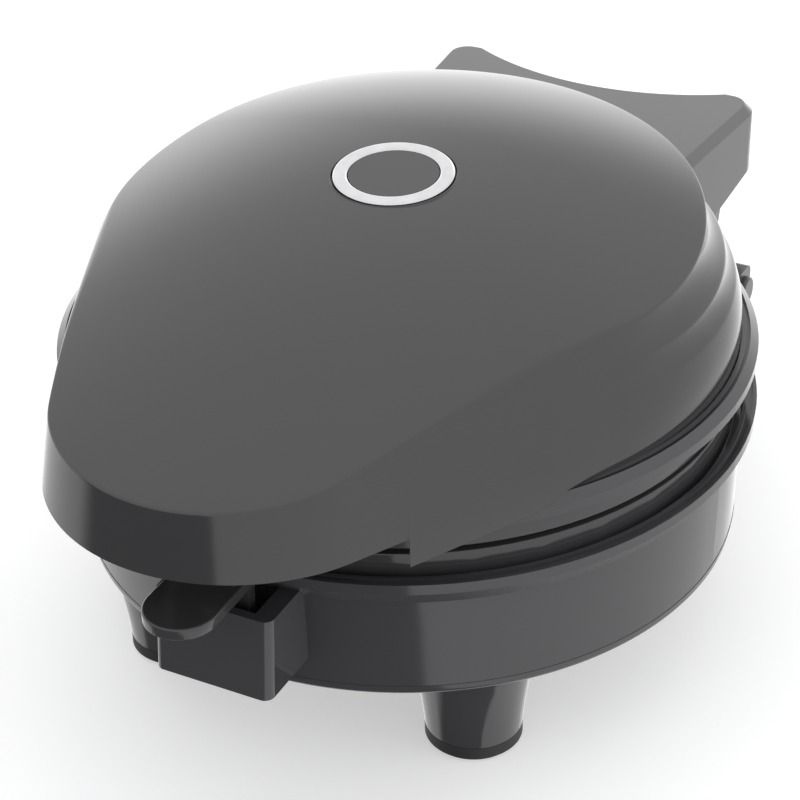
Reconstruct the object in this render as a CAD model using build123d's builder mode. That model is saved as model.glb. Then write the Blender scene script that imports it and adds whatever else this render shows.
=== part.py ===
from build123d import *
import math
import os

# Compact round contact grill, lid closed.
# Millimetres, Z up. The origin is on the table, under the centre of the round cooking plates.
# The handle and latch are towards -Y, the hinge is towards +Y.

# Heights, stacked from the table
leg_height = 22.5
base_height = 28.9
ring_stand = 3.8
parting_gap = 1.3
band_height = 6.1
flange_height = 3.6
lower_tier_height = 12.3
middle_tier_height = 5.0
dome_height = 18.3
rim_top = leg_height + base_height
ring_top = rim_top + ring_stand
band_bottom = ring_top + parting_gap
flange_bottom = band_bottom + band_height
flange_top = flange_bottom + flange_height
lower_tier_top = flange_top + lower_tier_height
middle_tier_top = lower_tier_top + middle_tier_height
dome_top = middle_tier_top + dome_height

# Walls and clearances
wall = 2.4
sheet = 0.8
seat = 0.1
clearance = 0.3
edge_round = 0.5

# Base housing
base_radius = 69.6
base_draft = 0.6
base_edge_round = 1.4
rim_overhang = 2.8
rim_radius = base_radius + rim_overhang
rim_thickness = 2.2
collar_height = 3.6
collar_step = 0.35
bead_width = 0.8
bead_groove_width = 1.2
bead_groove_depth = 0.6
ledge_depth = 4.6

# Round bands at the parting line and lid flange
ring_inset = 1.9
ring_radius = base_radius - ring_inset
ring_width = 3.2
ring_foot_height = 1.5
flange_overhang = 2.4
flange_radius = base_radius + flange_overhang
flange_edge = 2.0
flange_groove_width = 0.7
flange_groove_depth = 0.8
flange_ridge_width = 1.0

# Lid cover: a round, stepped body with a teardrop handle
lid_wall_inset = 1.2
lid_wall_radius = base_radius - lid_wall_inset
lower_step = 1.7
middle_step = 2.3
upper_step = 4.1
lower_shoulder = 8.5
cover_bottom_drop = 1.7
cover_bottom = flange_top - cover_bottom_drop
dome_long_radius = 372.0
dome_rear_radius = 143.0
dome_cross_radius = 161.0
dome_apex_y = 14.9
dome_margin = 12.0
dome_half_width = flange_radius + dome_margin
dome_depth = 62.0
form_margin = 2.0
flank_seat = 1.6
flank_bow_radius = 420.0
flank_centre_y = -1.0
flank_top_rise = 7.0
handle_stand = 1.9
handle_reach = base_radius + handle_stand
handle_corner_offset = 6.8
handle_corner_radius = 26.6
handle_front_radius = 35.6
handle_flare = 0.164
handle_rim_drop = 18.4
handle_rim_height = dome_top - handle_rim_drop
lip_rise = 3.8
lip_bottom = flange_top + lip_rise
lip_notch_stand = 4.0
lip_notch_y = -base_radius - lip_notch_stand

# Ring, disc and lamp on the lid
trim_y = -4.3
trim_radius = 12.2
trim_width = 3.0
trim_stand = 0.25
recess_depth = 1.5
lamp_radius = 2.5
lamp_flange_width = 1.2
lamp_length = 7.0

# Rear hinge block
block_half_front = 36.1
block_half_rear = 39.2
block_front_inset = 3.8
block_front_y = base_radius - block_front_inset
block_length = 37.4
block_rear_y = block_front_y + block_length
block_hollow = 8.4
block_arc_y = block_rear_y - block_hollow
block_arc_radius = 59.2
block_corner_round = 6.0
block_horn_round = 3.0
block_chamfer = 1.9
block_top_rise = 0.4
block_bottom_rise = 0.7
block_bottom = band_bottom + block_bottom_rise
block_bottom_slope = 0.226

# Hinge
hinge_stand = 6.4
hinge_y = base_radius + hinge_stand
hinge_drop = 7.4
hinge_z = rim_top - hinge_drop
hinge_pin_radius = 2.0
hinge_running_fit = 0.05
hinge_boss_radius = 5.6
arm_inner = 30.5
arm_outer = 36.6
arm_front_inset = 3.1
arm_front_y = hinge_y - arm_front_inset
ear_gap = 0.5
ear_thickness = 9.5
ear_root_inset = 11.6
ear_root_y = base_radius - ear_root_inset
ear_rear_stand = 4.2
ear_rear_y = hinge_y + ear_rear_stand
ear_top = rim_top - rim_thickness
ear_bottom_rise = 7.5
ear_bottom = leg_height + ear_bottom_rise
ear_round = 2.0
pin_head_radius = 3.4
pin_head_height = 1.2

# Latch pocket on the base
pocket_drop = 3.9
pocket_top = rim_top - pocket_drop
pocket_rise = 7.7
pocket_bottom = leg_height + pocket_rise
pocket_half = 12.6
pocket_stand = 12.0
pocket_front = base_radius + pocket_stand
pocket_lean = 1.6
pocket_round = 2.0
pocket_cheek = 4.0
pocket_wall = 1.9
pocket_floor = 2.3
keeper_depth = 0.9
keeper_height = 1.5
keeper_drop = 2.8

# Latch
latch_stand = 9.4
latch_y = base_radius + latch_stand
latch_rise = 0.4
latch_z = flange_bottom + latch_rise
lever_half_width = 7.2
lever_boss_radius = 3.0
latch_pin_radius = 1.2
latch_running_fit = 0.05
tab_rise = 3.0
tab_top = rim_top + tab_rise
tab_thickness = 2.4
tab_reach = 19.3
tab_front = latch_y + tab_reach
tab_round_length = 7.3
tab_round_start = tab_front - tab_round_length
stem_thickness = 2.4
stem_half_width = 6.0
hook_drop = 11.2
hook_bottom = rim_top - hook_drop
hook_nose = 1.0
lug_thickness = 2.2
lug_gap = 0.4
lug_depth = 6.0
handle_base_rise = 2.4
handle_base_bottom = lip_bottom + handle_base_rise
handle_base_thickness = 2.0
handle_base_inset = 0.2
handle_base_rear = base_radius - handle_base_inset
spring_wire = 0.7
spring_space = 5.0

# Cooking plates
plate_wall = 2.4
plate_thickness = 3.2
plate_rim_width = 2.4
plate_rim_thickness = 2.0
plate_rim_inset = 0.3
plate_recess = 5.5
plate_draft = 1.6
rib_pitch = 10.0
rib_width = 3.0
rib_top_width = 1.8
rib_height = 1.9
rib_end_gap = 0.8

# Heating elements and heat shields
element_inset = 27.6
element_radius = base_radius - element_inset
element_tube = 3.2
element_arc = 310.0
element_seat_width = 9.0
element_seat_height = 2.0
element_pin_radius = 1.4
element_pin_length = 7.0
shield_inset = 15.6
shield_radius = base_radius - shield_inset
shield_depth = 9.5
shield_flange = 3.0
plate_boss_radius = 4.0
plate_boss_count = 3
plate_boss_inset = 15.0
plate_boss_circle = element_radius - plate_boss_inset

# Screws, one size throughout
screw_radius = 1.5
screw_head_radius = 2.9
screw_head_height = 1.8
screw_length = 6.0
screw_slot = 0.7

# Small parts in the base
thermostat_radius = 7.5
thermostat_height = 6.0
thermostat_tab = 3.0
fuse_radius = 2.0
fuse_length = 12.0
fuse_y = 17.0
terminal_length = 26.0
terminal_width = 12.0
terminal_height = 8.0
terminal_y = 28.0
terminal_count = 3
gland_radius = 5.0
gland_flange_radius = 7.0
gland_flange = 2.0
gland_nose = 3.5
gland_bore_radius = 3.0
gland_rise = 12.5
gland_z = leg_height + gland_rise

# Legs, pads and floor
leg_side_inset = 34.8
leg_x = base_radius - leg_side_inset
leg_end_inset = 28.0
leg_y = base_radius - leg_end_inset
leg_top_radius = 12.9
leg_waist_radius = 10.4
leg_waist_z = 8.6
leg_bottom_radius = 9.9
leg_wall = 2.2
pad_height = 3.5
pad_chamfer = 0.9
pad_plug_radius = 4.0
pad_plug_height = 4.0
floor_thickness = 2.2
floor_screw_inset = 9.6
floor_screw_circle = base_radius - floor_screw_inset

# Where the crowned top meets the upper step
crease_radius = lid_wall_radius - lower_step - middle_step - upper_step
crease_height = dome_top - (dome_cross_radius - math.sqrt(dome_cross_radius**2 - crease_radius**2))

os.makedirs("parts", exist_ok=True)


def save(builder, name):
    """Labels the finished piece and writes it."""
    builder.part.label = name
    export_step(builder.part, "parts/" + name + ".step")


def flip(points):
    """The same points on the other side of the middle plane."""
    return [(-x, y) for x, y in points]


def outline(rear_radius, corner_radius, front_radius, bow_radius):
    """Teardrop outline: a rear circle, slightly bowed flanks, two corner arcs and a front arc."""
    corner_y = -handle_reach - flank_centre_y
    corner_distance = math.hypot(handle_corner_offset, corner_y)
    toward_corner = math.atan2(corner_y, handle_corner_offset)
    to_rear = bow_radius - rear_radius
    to_corner = bow_radius - corner_radius
    spread = math.acos((to_corner**2 - to_rear**2 - corner_distance**2) / (2 * to_rear * corner_distance))
    rear_normal = toward_corner + spread
    bow_centre = (-to_rear * math.cos(rear_normal), flank_centre_y - to_rear * math.sin(rear_normal))
    bow_middle = (rear_normal + math.atan2(-handle_reach - bow_centre[1], handle_corner_offset - bow_centre[0])) / 2
    corner_normal = 2 * bow_middle - rear_normal
    split_angle = math.asin(handle_corner_offset / (front_radius - corner_radius)) - math.pi / 2

    def around_corner(angle):
        return (
            handle_corner_offset + corner_radius * math.cos(angle),
            -handle_reach + corner_radius * math.sin(angle),
        )

    def around_bow(angle):
        return (bow_centre[0] + bow_radius * math.cos(angle), bow_centre[1] + bow_radius * math.sin(angle))

    corner_middle = around_corner((corner_normal + split_angle) / 2)
    right = [around_bow(rear_normal), around_bow(bow_middle), around_corner(corner_normal), corner_middle]
    right.append(around_corner(split_angle))
    left = flip(right)
    front_centre_y = -handle_reach - (front_radius - corner_radius) * math.sin(split_angle)
    with BuildLine() as lines:
        ThreePointArc(left[0], (0, flank_centre_y + rear_radius), right[0])
        ThreePointArc(right[0], right[1], right[2])
        ThreePointArc(right[2], right[3], right[4])
        ThreePointArc(right[4], (0, front_centre_y - front_radius), left[4])
        ThreePointArc(left[4], left[3], left[2])
        ThreePointArc(left[2], left[1], left[0])
    return lines.line


def flank_face(height, rear_radius, inset):
    """Teardrop face of the lid at a height, pulled in by an inset. The handle flares downward."""
    flare = handle_flare * (handle_rim_height - height) - inset
    corner_radius = handle_corner_radius + flare
    edges = outline(rear_radius - inset, corner_radius, handle_front_radius + flare, flank_bow_radius - inset)
    with BuildSketch(Plane.XY.offset(height)) as face:
        with BuildLine():
            add(edges)
        make_face()
    return face.sketch


def flank_body(inset, bottom):
    """Smooth body through the round wall, the roots of the steps and the crease, with the handle."""
    wall_foot = (bottom, lid_wall_radius)
    wall_top = (lower_tier_top - lower_shoulder - form_margin, lid_wall_radius)
    lower_root = (lower_tier_top, lid_wall_radius - lower_step)
    middle_root = (middle_tier_top, crease_radius + upper_step)
    crease = (crease_height, crease_radius)
    above = (crease_height + flank_top_rise, crease_radius - upper_step - flank_seat)
    levels = [wall_foot, wall_top, lower_root, middle_root, crease, above]
    return loft(sections=[flank_face(height, radius - flank_seat, inset) for height, radius in levels])


def tier_body(inset, bottom):
    """Round body of the lid, turned about Z: a barrelled wall and two coved steps above it."""
    top = dome_top + form_margin
    wall_radius = lid_wall_radius - inset
    lower_top = (wall_radius - lower_step, lower_tier_top - inset)
    middle_top = (lower_top[0] - middle_step, middle_tier_top - inset)
    crease = (middle_top[0] - upper_step, crease_height - inset)
    shoulder = (wall_radius, lower_top[1] - lower_shoulder)
    with BuildPart() as body:
        with BuildSketch(Plane.XZ):
            with BuildLine():
                Polyline((crease[0], crease[1]), (crease[0], top), (0, top), (0, bottom), (wall_radius, bottom), shoulder)
                TangentArc(shoulder, lower_top, tangent=(0, 1))
                TangentArc(middle_top, lower_top, tangent=(0, -1))
                TangentArc(crease, middle_top, tangent=(0, -1))
            make_face()
        revolve(axis=Axis.Z)
    return body.part


def dome_half(inset, radius, reach, toward):
    """Half of the crown: a cross arc at its highest point, turned down toward one end of the lid."""
    top = dome_top - inset
    side = top - dome_cross_radius + math.sqrt(dome_cross_radius**2 - dome_half_width**2)
    form_depth = dome_top - cover_bottom + 2 * wall
    angle = math.degrees(math.atan2(reach + form_margin, radius - form_depth))
    with BuildPart() as body:
        with BuildSketch(Plane(origin=(0, dome_apex_y, 0), x_dir=(1, 0, 0), z_dir=(0, -1, 0))):
            with BuildLine():
                ThreePointArc((-dome_half_width, side), (0, top), (dome_half_width, side))
                Polyline((dome_half_width, side), (dome_half_width, dome_top - dome_depth))
                Polyline((dome_half_width, dome_top - dome_depth), (-dome_half_width, dome_top - dome_depth))
                Polyline((-dome_half_width, dome_top - dome_depth), (-dome_half_width, side))
            make_face()
        revolve(axis=Axis((0, dome_apex_y, dome_top - radius), (toward, 0, 0)), revolution_arc=angle)
    return body.part


def dome_body(inset):
    """Everything under the lid's crowned top, long toward the handle and rounder toward the hinge."""
    front_reach = handle_reach + handle_front_radius + dome_apex_y
    rear_reach = lid_wall_radius - dome_apex_y
    with BuildPart() as body:
        add(dome_half(inset, dome_long_radius, front_reach, 1))
        add(dome_half(inset, dome_rear_radius, rear_reach, -1))
    return body.part


def lid_form(inset, bottom):
    """Solid form of the lid from a bottom height up, pulled in all over by an inset."""
    under_dome = dome_body(inset)
    with BuildPart() as round_body:
        add(tier_body(inset, bottom))
        add(under_dome, mode=Mode.INTERSECT)
    with BuildPart() as form:
        add(flank_body(inset, bottom))
        add(under_dome, mode=Mode.INTERSECT)
        add(round_body.part)
    return form.part


lid_outer = lid_form(0, cover_bottom)
lid_inner = lid_form(wall, cover_bottom - wall)

# The ring, disc and lamp stand on a plane that touches the dome
trim_tilt = math.asin((dome_apex_y - trim_y) / dome_long_radius)
trim_z = dome_top - dome_long_radius * (1 - math.cos(trim_tilt))
trim_plane = Plane(
    origin=(0, trim_y, trim_z), x_dir=(1, 0, 0), z_dir=(0, -math.sin(trim_tilt), math.cos(trim_tilt))
)
recess_floor = trim_plane.offset(-recess_depth)
recess_back = trim_plane.offset(-recess_depth - wall)
recess_radius = trim_radius + clearance

# Handle screws and the bosses that take them, either side of the latch
handle_screw_x = lever_half_width + lug_gap + lug_thickness + 2 * screw_head_radius
handle_base_top = handle_base_bottom + handle_base_thickness
handle_screws_at = [(handle_screw_x, -latch_y), (-handle_screw_x, -latch_y)]

with BuildPart() as handle_bosses:
    with BuildSketch(Plane.XY.offset(handle_base_top + seat)):
        with Locations(*handle_screws_at):
            Circle(screw_head_radius + seat)
    extrude(amount=dome_top - handle_base_top)
    with BuildSketch(Plane.XY.offset(handle_base_top)):
        with Locations(*handle_screws_at):
            Circle(screw_radius + seat)
    extrude(amount=screw_length, mode=Mode.SUBTRACT)
    add(lid_outer, mode=Mode.INTERSECT)

# Lid cover: moulded shell, its lip cut higher in front of the notch, with a recess for the ring
with BuildPart() as lid_cover:
    add(lid_outer)
    add(lid_inner, mode=Mode.SUBTRACT)
    with BuildSketch(recess_back):
        Circle(recess_radius + wall)
    extrude(amount=wall + recess_depth / 2)
    with BuildSketch(recess_floor):
        Circle(recess_radius)
    extrude(amount=2 * recess_depth, mode=Mode.SUBTRACT)
    with BuildSketch(recess_back):
        Circle(lamp_radius + seat)
    extrude(amount=wall, mode=Mode.SUBTRACT)
    with BuildSketch(Plane.YZ):
        with Locations((lip_notch_y, cover_bottom)):
            Rectangle(dome_half_width, lip_bottom - cover_bottom, align=(Align.MAX, Align.MIN))
    extrude(amount=dome_half_width, both=True, mode=Mode.SUBTRACT)
    add(handle_bosses.part)
save(lid_cover, "lid_cover")

# Ring let into the top, the disc inside it and the lamp behind the disc
with BuildPart() as indicator_ring:
    with BuildSketch(recess_floor.offset(seat)):
        Circle(trim_radius)
        Circle(trim_radius - trim_width, mode=Mode.SUBTRACT)
    extrude(amount=recess_depth + trim_stand)
    fillet(indicator_ring.edges().filter_by(GeomType.CIRCLE).group_by(Axis.Z)[-1], edge_round)
save(indicator_ring, "indicator_ring")

with BuildPart() as indicator_disc:
    with BuildSketch(recess_floor.offset(seat)):
        Circle(trim_radius - trim_width - seat)
    extrude(amount=recess_depth)
save(indicator_disc, "indicator_disc")

with BuildPart() as indicator_lamp:
    with BuildSketch(recess_back.offset(-seat)):
        Circle(lamp_radius + lamp_flange_width)
    extrude(amount=-sheet)
    with BuildSketch(recess_floor):
        Circle(lamp_radius)
    extrude(amount=-wall - lamp_length)
save(indicator_lamp, "indicator_lamp")

# Lid housing: the flange with its ridge and groove, and the band round the upper plate
cover_seat = cover_bottom - seat
ridge_inner = lid_wall_radius + 2 * seat
ridge_outer = ridge_inner + flange_ridge_width
groove_outer = ridge_outer + flange_groove_width
housing_inner = lid_wall_radius - wall - seat
plate_opening = ring_radius - ring_width
plate_seat_radius = plate_opening - plate_rim_width
upper_rim = band_bottom + plate_rim_inset
upper_seat = upper_rim + plate_rim_thickness + seat
cover_room = lid_form(-2 * seat, cover_seat)
with BuildPart() as lid_housing:
    with BuildSketch(Plane.XZ):
        with BuildLine():
            Polyline(
                (plate_opening, band_bottom),
                (ring_radius, band_bottom),
                (ring_radius, flange_bottom),
                (flange_radius, flange_bottom),
                (flange_radius, flange_bottom + flange_edge),
                (groove_outer, flange_top),
                (groove_outer, flange_top - flange_groove_depth),
                (ridge_outer, flange_top - flange_groove_depth),
                (ridge_outer, flange_top),
                (ridge_inner, flange_top),
                (ridge_inner, cover_seat),
                (housing_inner, cover_seat),
                (housing_inner, flange_bottom + flange_edge),
                (plate_seat_radius, flange_bottom + flange_edge),
                (plate_seat_radius, upper_seat),
                (plate_opening, upper_seat),
                close=True,
            )
        make_face()
    revolve(axis=Axis.Z)
    add(cover_room, mode=Mode.SUBTRACT)
save(lid_housing, "lid_housing")

# Lower ring: the band that stands above the base rim and carries the lower plate
rim_inner = rim_radius - 2 * bead_width - bead_groove_width
ledge_top = rim_top - ledge_depth
ring_bottom = ledge_top + seat
lower_rim = ring_top - plate_rim_inset
lower_seat = lower_rim - plate_rim_thickness - seat
with BuildPart() as lower_ring:
    with BuildSketch(Plane.XZ):
        with BuildLine():
            Polyline(
                (plate_opening, ring_bottom),
                (rim_inner - seat, ring_bottom),
                (rim_inner - seat, ring_bottom + ring_foot_height),
                (ring_radius, ring_bottom + ring_foot_height),
                (ring_radius, ring_top),
                (plate_opening, ring_top),
                (plate_opening, lower_seat),
                (plate_seat_radius, lower_seat),
                (plate_seat_radius, lower_seat - plate_rim_thickness),
                (plate_opening, lower_seat - plate_rim_thickness),
                close=True,
            )
        make_face()
    revolve(axis=Axis.Z)
save(lower_ring, "lower_ring")

# Base shell: wall, collar and rim turned in one, then the latch pocket and the hinge ears
base_inner = base_radius - wall
rim_bottom = rim_top - rim_thickness
collar_bottom = rim_bottom - collar_height
pocket_slope = pocket_lean / (pocket_top - pocket_bottom)
pocket_inner_front = pocket_front - pocket_wall
pocket_inner_half = pocket_half - pocket_cheek
keeper_top = pocket_top - keeper_drop
keeper_rear = pocket_inner_front - keeper_depth
ear_inner = arm_outer + ear_gap
ear_outer = ear_inner + ear_thickness
ear_middle = (ear_inner + ear_outer) / 2

with BuildPart() as base_wall:
    with BuildSketch(Plane.XZ):
        with BuildLine():
            Polyline(
                (base_inner - base_draft, leg_height),
                (base_radius - base_draft, leg_height),
                (base_radius, collar_bottom),
                (base_radius + collar_step, collar_bottom),
                (rim_radius, rim_bottom),
                (rim_radius, rim_top),
                (rim_radius - bead_width, rim_top),
                (rim_radius - bead_width, rim_top - bead_groove_depth),
                (rim_inner + bead_width, rim_top - bead_groove_depth),
                (rim_inner + bead_width, rim_top),
                (rim_inner, rim_top),
                (rim_inner, ledge_top),
                (base_inner, ledge_top),
                close=True,
            )
        make_face()
    revolve(axis=Axis.Z)
    lower_edges = base_wall.edges().filter_by(GeomType.CIRCLE).group_by(Axis.Z)[0]
    fillet(lower_edges.sort_by(SortBy.RADIUS)[-1], base_edge_round)

with BuildPart() as base_room:
    with BuildSketch(Plane.XZ):
        with BuildLine():
            Polyline(
                (0, leg_height),
                (base_inner - base_draft, leg_height),
                (base_inner, ledge_top),
                (rim_inner, ledge_top),
                (rim_inner, dome_top),
                (0, dome_top),
                close=True,
            )
        make_face()
    revolve(axis=Axis.Z)

with BuildPart() as base_shell:
    with BuildSketch(Plane.YZ):
        with BuildLine():
            Polyline(
                (-base_inner, pocket_top),
                (-pocket_front, pocket_top),
                (-pocket_front - pocket_lean, pocket_bottom),
                (-base_inner, pocket_bottom),
                close=True,
            )
        make_face()
    extrude(amount=pocket_half, both=True)
    front_uprights = base_shell.faces().sort_by(Axis.Y)[0].edges().filter_by(Axis.X, reverse=True)
    fillet(front_uprights, pocket_round)
    with BuildSketch(Plane.YZ):
        with BuildLine():
            Polyline(
                (-base_radius, pocket_top),
                (-pocket_inner_front, pocket_top),
                (-pocket_inner_front - pocket_lean + pocket_wall * pocket_slope, pocket_bottom + pocket_floor),
                (-base_radius, pocket_bottom + pocket_floor),
                close=True,
            )
        make_face()
    extrude(amount=pocket_inner_half, both=True, mode=Mode.SUBTRACT)
    with BuildSketch(Plane.XY.offset(keeper_top - keeper_height)):
        with Locations((0, -pocket_inner_front)):
            Rectangle(2 * pocket_inner_half, 2 * keeper_depth)
    extrude(amount=keeper_height)
    for side in (1, -1):
        with BuildSketch(Plane.YZ.offset(side * ear_middle)) as ear_profile:
            with BuildLine():
                Polyline(
                    (ear_root_y, ear_bottom),
                    (hinge_y, hinge_z - hinge_boss_radius),
                    (ear_rear_y, hinge_z),
                    (ear_rear_y, ear_top),
                    (ear_root_y, ear_top),
                    close=True,
                )
            make_face()
            fillet(ear_profile.vertices().group_by(Axis.Y)[-1], ear_round)
        extrude(amount=ear_thickness / 2, both=True)
    add(base_room.part, mode=Mode.SUBTRACT)
    add(base_wall.part)
    with BuildSketch(Plane.YZ):
        with Locations((hinge_y, hinge_z)):
            Circle(hinge_pin_radius + hinge_running_fit / 2)
    extrude(amount=2 * ear_outer, both=True, mode=Mode.SUBTRACT)
    with BuildSketch(Plane.XZ.offset(-base_inner + wall)):
        with Locations((0, gland_z)):
            Circle(gland_radius + seat)
    extrude(amount=-3 * wall, mode=Mode.SUBTRACT)
save(base_shell, "base_shell")

# Hinge pins, pushed through the ears from the outside
for side, name in ((1, "hinge_pin_right"), (-1, "hinge_pin_left")):
    with BuildPart() as hinge_pin:
        with BuildSketch(Plane.YZ.offset(side * (ear_outer + seat))):
            with Locations((hinge_y, hinge_z)):
                Circle(pin_head_radius)
        extrude(amount=side * pin_head_height)
        with BuildSketch(Plane.YZ.offset(side * (ear_outer + seat))):
            with Locations((hinge_y, hinge_z)):
                Circle(hinge_pin_radius)
        extrude(amount=-side * (ear_outer + seat - arm_inner))
        fillet(hinge_pin.faces().sort_by(Axis.X)[-1 if side > 0 else 0].edges(), edge_round)
    save(hinge_pin, name)

# Hinge block: two rounded horns with a hollow curve between them, and two arms down to the pins
block_top = lower_tier_top + block_top_rise
block_rear_bottom = block_bottom + block_bottom_slope * (block_rear_y - arm_front_y)
arm_front = arm_front_y - hinge_boss_radius / 2
with BuildPart() as hinge_block:
    with BuildSketch(Plane.XY.offset(block_bottom)) as block_plan:
        with BuildLine():
            Polyline(
                (-block_half_front, block_front_y),
                (block_half_front, block_front_y),
                (block_half_rear, block_rear_y),
                (-block_half_rear, block_rear_y),
                close=True,
            )
        make_face()
        with Locations((0, block_arc_y + block_arc_radius)):
            Circle(block_arc_radius, mode=Mode.SUBTRACT)
        rear_corners = block_plan.vertices().sort_by(Axis.Y)[-4:].sort_by(Axis.X)
        fillet([rear_corners[0], rear_corners[3]], block_corner_round)
        horn_corners = block_plan.vertices().sort_by(lambda v: abs(abs(v.X) - rear_corners[2].X))[:2]
        fillet(horn_corners, block_horn_round)
    extrude(amount=block_top - block_bottom)
    top_lines = hinge_block.faces().sort_by(Axis.Z)[-1].edges().filter_by(GeomType.LINE).sort_by(Axis.X)
    chamfer([top_lines[0], top_lines[-1]], block_chamfer)
    with BuildSketch(Plane.YZ):
        with BuildLine():
            Polyline(
                (arm_front_y, block_bottom),
                (block_rear_y, block_rear_bottom),
                (block_rear_y, block_bottom),
                close=True,
            )
        make_face()
    extrude(amount=block_half_rear, both=True, mode=Mode.SUBTRACT)
    for side in (1, -1):
        with BuildSketch(Plane.YZ.offset(side * (arm_inner + arm_outer) / 2)):
            with BuildLine():
                Polyline(
                    (hinge_y - hinge_boss_radius, hinge_z),
                    (arm_front, block_bottom + wall),
                    (hinge_y + 2 * hinge_boss_radius, block_bottom + 2 * wall),
                    (hinge_y + hinge_boss_radius, hinge_z),
                )
                ThreePointArc(
                    (hinge_y + hinge_boss_radius, hinge_z),
                    (hinge_y, hinge_z - hinge_boss_radius),
                    (hinge_y - hinge_boss_radius, hinge_z),
                )
            make_face()
        extrude(amount=(arm_outer - arm_inner) / 2, both=True)
    with BuildSketch(Plane.YZ):
        with Locations((hinge_y, hinge_z)):
            Circle(hinge_pin_radius + hinge_running_fit)
    extrude(amount=2 * arm_outer, both=True, mode=Mode.SUBTRACT)
    with BuildSketch(Plane.XY.offset(block_bottom - wall)):
        Circle(flange_radius + seat)
    extrude(amount=flange_top + seat - block_bottom + wall, mode=Mode.SUBTRACT)
    with BuildSketch(Plane.XY.offset(flange_top)):
        Circle(lid_wall_radius + seat)
    extrude(amount=block_top - flange_top + seat, mode=Mode.SUBTRACT)
save(hinge_block, "hinge_block")

# Handle base: closes the hollow handle from below and carries the two latch lugs
lug_inner = lever_half_width + lug_gap
lug_middle = lug_inner + lug_thickness / 2
handle_base_lower = flank_face(handle_base_bottom, lid_wall_radius - flank_seat, wall + clearance)
handle_base_upper = flank_face(handle_base_top, lid_wall_radius - flank_seat, wall + clearance)
with BuildPart() as handle_base:
    loft(sections=[handle_base_lower, handle_base_upper], ruled=True)
    with BuildSketch(Plane.XY.offset(handle_base_bottom)):
        with Locations((0, -handle_base_rear)):
            Rectangle(4 * handle_reach, 4 * handle_reach, align=(Align.CENTER, Align.MIN))
    extrude(amount=handle_base_thickness, mode=Mode.SUBTRACT)
    for side in (1, -1):
        with BuildSketch(Plane.YZ.offset(side * lug_middle)):
            with BuildLine():
                Polyline(
                    (-latch_y - lug_depth, handle_base_bottom),
                    (-latch_y - lever_boss_radius, latch_z),
                )
                ThreePointArc(
                    (-latch_y - lever_boss_radius, latch_z),
                    (-latch_y, latch_z - lever_boss_radius),
                    (-latch_y + lever_boss_radius, latch_z),
                )
                Polyline(
                    (-latch_y + lever_boss_radius, latch_z),
                    (-latch_y + lug_depth, handle_base_bottom),
                    (-latch_y - lug_depth, handle_base_bottom),
                )
            make_face()
        extrude(amount=lug_thickness / 2, both=True)
    with BuildSketch(Plane.YZ):
        with Locations((-latch_y, latch_z)):
            Circle(latch_pin_radius + latch_running_fit / 2)
    extrude(amount=2 * handle_screw_x, both=True, mode=Mode.SUBTRACT)
    with BuildSketch(Plane.XY.offset(handle_base_bottom)):
        with Locations(*handle_screws_at):
            Circle(screw_radius + seat)
    extrude(amount=handle_base_thickness, mode=Mode.SUBTRACT)
save(handle_base, "handle_base")

# Latch lever: finger tab in front, stem and hook below, two bosses on the pin
pivot = (-latch_y, latch_z)
tab_bottom = tab_top - tab_thickness
nose_front_y = -keeper_rear + clearance
nose_top = keeper_top - keeper_height - clearance
stem_front_y = nose_front_y + hook_nose
stem_rear_y = stem_front_y + stem_thickness
boss_inner = spring_space / 2
with BuildPart() as latch_lever:
    with BuildSketch(Plane.XY.offset(tab_bottom)) as tab_plan:
        with BuildLine():
            Polyline(
                (lever_half_width, -tab_round_start),
                (lever_half_width, stem_rear_y),
                (-lever_half_width, stem_rear_y),
                (-lever_half_width, -tab_round_start),
            )
            ThreePointArc(
                (-lever_half_width, -tab_round_start), (0, -tab_front), (lever_half_width, -tab_round_start)
            )
        make_face()
    extrude(amount=tab_thickness)
    fillet(latch_lever.faces().sort_by(Axis.Z)[-1].edges().group_by(Axis.Y)[0], edge_round)
    with BuildSketch(Plane.YZ) as stem_profile:
        with BuildLine():
            Polyline(
                (stem_rear_y, latch_z),
                (stem_rear_y, hook_bottom),
                (stem_front_y, hook_bottom),
                (nose_front_y, hook_bottom + hook_nose),
                (nose_front_y, nose_top),
                (stem_front_y, nose_top),
                (stem_front_y, tab_bottom),
                (-latch_y - lever_boss_radius, tab_top),
                (-latch_y - lever_boss_radius, latch_z),
                close=True,
            )
        make_face()
        with Locations(pivot):
            Circle(lever_boss_radius)
    extrude(amount=stem_half_width, both=True)
    with BuildSketch(Plane.YZ):
        with Locations(pivot):
            Circle(latch_pin_radius + latch_running_fit)
    extrude(amount=lever_half_width, both=True, mode=Mode.SUBTRACT)
    with BuildSketch(Plane.YZ):
        with Locations(pivot):
            Circle(lever_boss_radius + clearance)
    extrude(amount=boss_inner, both=True, mode=Mode.SUBTRACT)
save(latch_lever, "latch_lever")

pin_half = lug_inner + lug_thickness
with BuildPart() as latch_pin:
    with BuildSketch(Plane.YZ.offset(-pin_half)):
        with Locations(pivot):
            Circle(latch_pin_radius)
    extrude(amount=2 * pin_half)
    chamfer(latch_pin.edges().filter_by(GeomType.CIRCLE), seat)
save(latch_pin, "latch_pin")

# Torsion spring round the pin, between the lever's bosses
spring_radius = latch_pin_radius + clearance
with BuildPart() as latch_spring:
    with BuildSketch(Plane.YZ.offset(-boss_inner + clearance)):
        with Locations(pivot):
            Circle(spring_radius + spring_wire)
            Circle(spring_radius, mode=Mode.SUBTRACT)
    extrude(amount=spring_space - 2 * clearance)
save(latch_spring, "latch_spring")


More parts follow.
